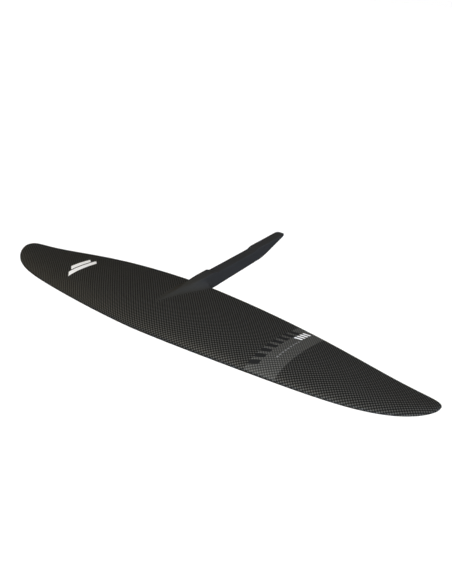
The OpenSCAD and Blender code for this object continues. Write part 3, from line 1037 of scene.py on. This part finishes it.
def print_piece(name, patches, material, node, layer=0):
    """A print made of patches (x0, x1, front(x), back(x), steps in x, steps in s).

    A print of layer 1 lies over those of layer 0.
    """
    points, faces, cloth = [], [], []
    for x0, x1, front, back, nx, ns in patches:
        over, under = [], []
        for i in range(nx + 1):
            x = x0 + (x1 - x0) * i / nx
            shares = [front(x) + (back(x) - front(x)) * j / ns for j in range(ns + 1)]
            low = INK_GAP + layer * (INK_GAP + INK_T)
            under.append([place(x, wing_y(x, s), skin_z(x, s, 1) + low) for s in shares])
            over.append([place(x, wing_y(x, s), skin_z(x, s, 1) + low + INK_T) for s in shares])
            cloth += [cloth_at(x, s) for s in shares]
        cloth += cloth[-(nx + 1) * (ns + 1):]
        more, more_faces = sheet_solid(over, under)
        faces += [tuple(k + len(points) for k in f) for f in more_faces]
        points += more
    piece = new_object(name, points, faces, material, cloth=cloth)
    tidy(piece)
    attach(piece, "root")
    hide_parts(node)


def leaning(x0, x1, s0, s1, lean=BAR_LEAN, ns=BAR_STEPS):
    """A bar whose ends move aft as x grows, or forwards if it leans the other way."""
    slope = lean / ROOT_CHORD

    def front(x):
        return s0 + slope * (x - x0)

    def back(x):
        return s1 + slope * (x - x0)

    return (x0, x1, front, back, BAR_STEPS, ns)


def row_of_bars(n, offset, width, front, back, step):
    """Equal bars one behind the other on the band."""
    x0 = BAND_X + offset
    return [leaning(x0, x0 + width, front + step * k, back + step * k) for k in range(n)]


def emblem_bar(k):
    x0 = EMBLEM_X + k * (EMBLEM_BAR_W + EMBLEM_GAP)
    front = EMBLEM_FRONTS[k]
    return leaning(x0, x0 + EMBLEM_BAR_W, front, EMBLEM_BACK, EMBLEM_LEAN, EMBLEM_STEPS)


print_piece("emblem_print", [emblem_bar(0), emblem_bar(1)], WHITE, "emblem")
print_piece(
    "accent_band_print",
    [(BAND_X, BAND_X + BAND_W, lambda x: BAND_FRONT, lambda x: BAND_BACK,
      BAND_X_STEPS, BAND_CHORD_STEPS)],
    BAND, "accent_band",
)
print_piece(
    "band_bars_print",
    row_of_bars(BARS, 0, BARS_W, BARS_FRONT, BARS_BACK, BARS_STEP),
    DARK, "band_marks", layer=1,
)
print_piece(
    "fine_dashes_print",
    row_of_bars(DASHES, DASHES_X, DASHES_W, DASHES_FRONT, DASHES_BACK, DASHES_STEP),
    PALE, "fine_marks", layer=1,
)
print_piece(
    "size_bars_print",
    row_of_bars(SIZE_BARS, SIZE_X, SIZE_W, SIZE_FRONT, SIZE_BACK, SIZE_STEP),
    WHITE, "size_marks", layer=1,
)

# ---------------------------------------------------------------- inner parts

# These keep their CAD shapes and only get a material each
INNER = {
    "front_core": FOAM,
    "left_rear_core": FOAM,
    "right_rear_core": FOAM,
    "upper_spar_cap": SPAR,
    "lower_spar_cap": SPAR,
    "spar_web": SPAR,
    "root_block": DENSE,
    "leading_edge_strip": PASTE,
    "trailing_edge_strip": PASTE,
    "left_tip_filler": PASTE,
    "right_tip_filler": PASTE,
}
for name, material in INNER.items():
    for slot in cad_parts[name].material_slots:
        slot.material = material

# ---------------------------------------------------------------- floor, light and camera

FLOOR_DROP = 3.0
FLOOR_SIZE = 60.0


def floor():
    """A wide pale floor that lights the object from below but shows in no gloss."""
    lowest = cad_box[0].z - FLOOR_DROP
    half = FLOOR_SIZE / 2
    corners = [(-half, -half, lowest), (half, -half, lowest), (half, half, lowest),
               (-half, half, lowest)]
    s = Shader("pale_floor")
    cloud = s.noise(s.space(), 0.4, 2.0)
    s.set(
        Base_Color=s.mix_colour(cloud, grey(0.93), grey(0.95)),
        Roughness=s.math("MULTIPLY_ADD", cloud, 0.05, 0.8),
    )
    s.bsdf.inputs["Specular IOR Level"].default_value = 0.1
    ground = new_object("floor", corners, [(0, 1, 2, 3)], s.material, smooth=False)
    ground.visible_glossy = False


# Each light's name, the direction it comes from, its strength, width in degrees and colour
LIGHTS = (
    ("front", (0.0, -0.5, 0.87), 1.95, 40.0, (1.0, 0.89, 0.68)),
    ("side", (0.6, -0.7, 0.45), 4.05, 60.0, (0.70, 0.82, 1.0)),
    ("rear", (0.6, 0.7, 0.5), 1.65, 60.0, (0.82, 0.85, 1.0)),
    ("left", (-0.9, -0.2, 0.5), 0.52, 60.0, (1.0, 0.77, 0.40)),
)


def soft_sun(name, direction, strength, angle_deg, colour):
    """A sun so wide that it lights like a large soft box from one direction."""
    light = bpy.data.lights.new(name, "SUN")
    light.energy = strength
    light.color = colour
    light.angle = math.radians(angle_deg)
    obj = bpy.data.objects.new(name, light)
    bpy.context.scene.collection.objects.link(obj)
    obj.rotation_mode = "QUATERNION"
    obj.rotation_quaternion = Vector(direction).to_track_quat("Z", "Y")


def surroundings():
    """A white room that is seen but gives no light of its own."""
    world = bpy.data.worlds.new("studio")
    bpy.context.scene.world = world
    world.use_nodes = True
    back = world.node_tree.nodes["Background"]
    back.inputs["Color"].default_value = (1, 1, 1, 1)
    back.inputs["Strength"].default_value = 1.0
    world.cycles_visibility.diffuse = False
    world.cycles_visibility.glossy = False


# Place in mm in the root chord line's own axes, lens in mm
CAMERA_AT = (874.5, -939.5, 725.8)
CAMERA_AZIMUTH = math.radians(37.74)
CAMERA_ELEVATION = math.radians(28.64)
CAMERA_LENS = 45.5


def camera():
    """The camera at the photograph's viewing angle."""
    a, e = CAMERA_AZIMUTH, CAMERA_ELEVATION
    back = Vector((math.sin(a) * math.cos(e), -math.cos(a) * math.cos(e), math.sin(e)))
    right = Vector((math.cos(a), math.sin(a), 0.0))
    up = back.cross(right)
    turn = Matrix((right, up, back)).transposed()
    data = bpy.data.cameras.new("camera")
    data.lens = CAMERA_LENS
    data.sensor_width = 36.0
    data.clip_start = 0.05
    data.clip_end = 200.0
    obj = bpy.data.objects.new("camera", data)
    bpy.context.scene.collection.objects.link(obj)
    tilt = Matrix.Rotation(INCIDENCE, 3, "X")
    obj.matrix_world = Matrix.Translation(place(*CAMERA_AT)) @ (tilt @ turn).to_4x4()
    bpy.context.scene.camera = obj


floor()
surroundings()
for light in LIGHTS:
    soft_sun(*light)
camera()
bpy.context.scene.view_settings.view_transform = "Standard"
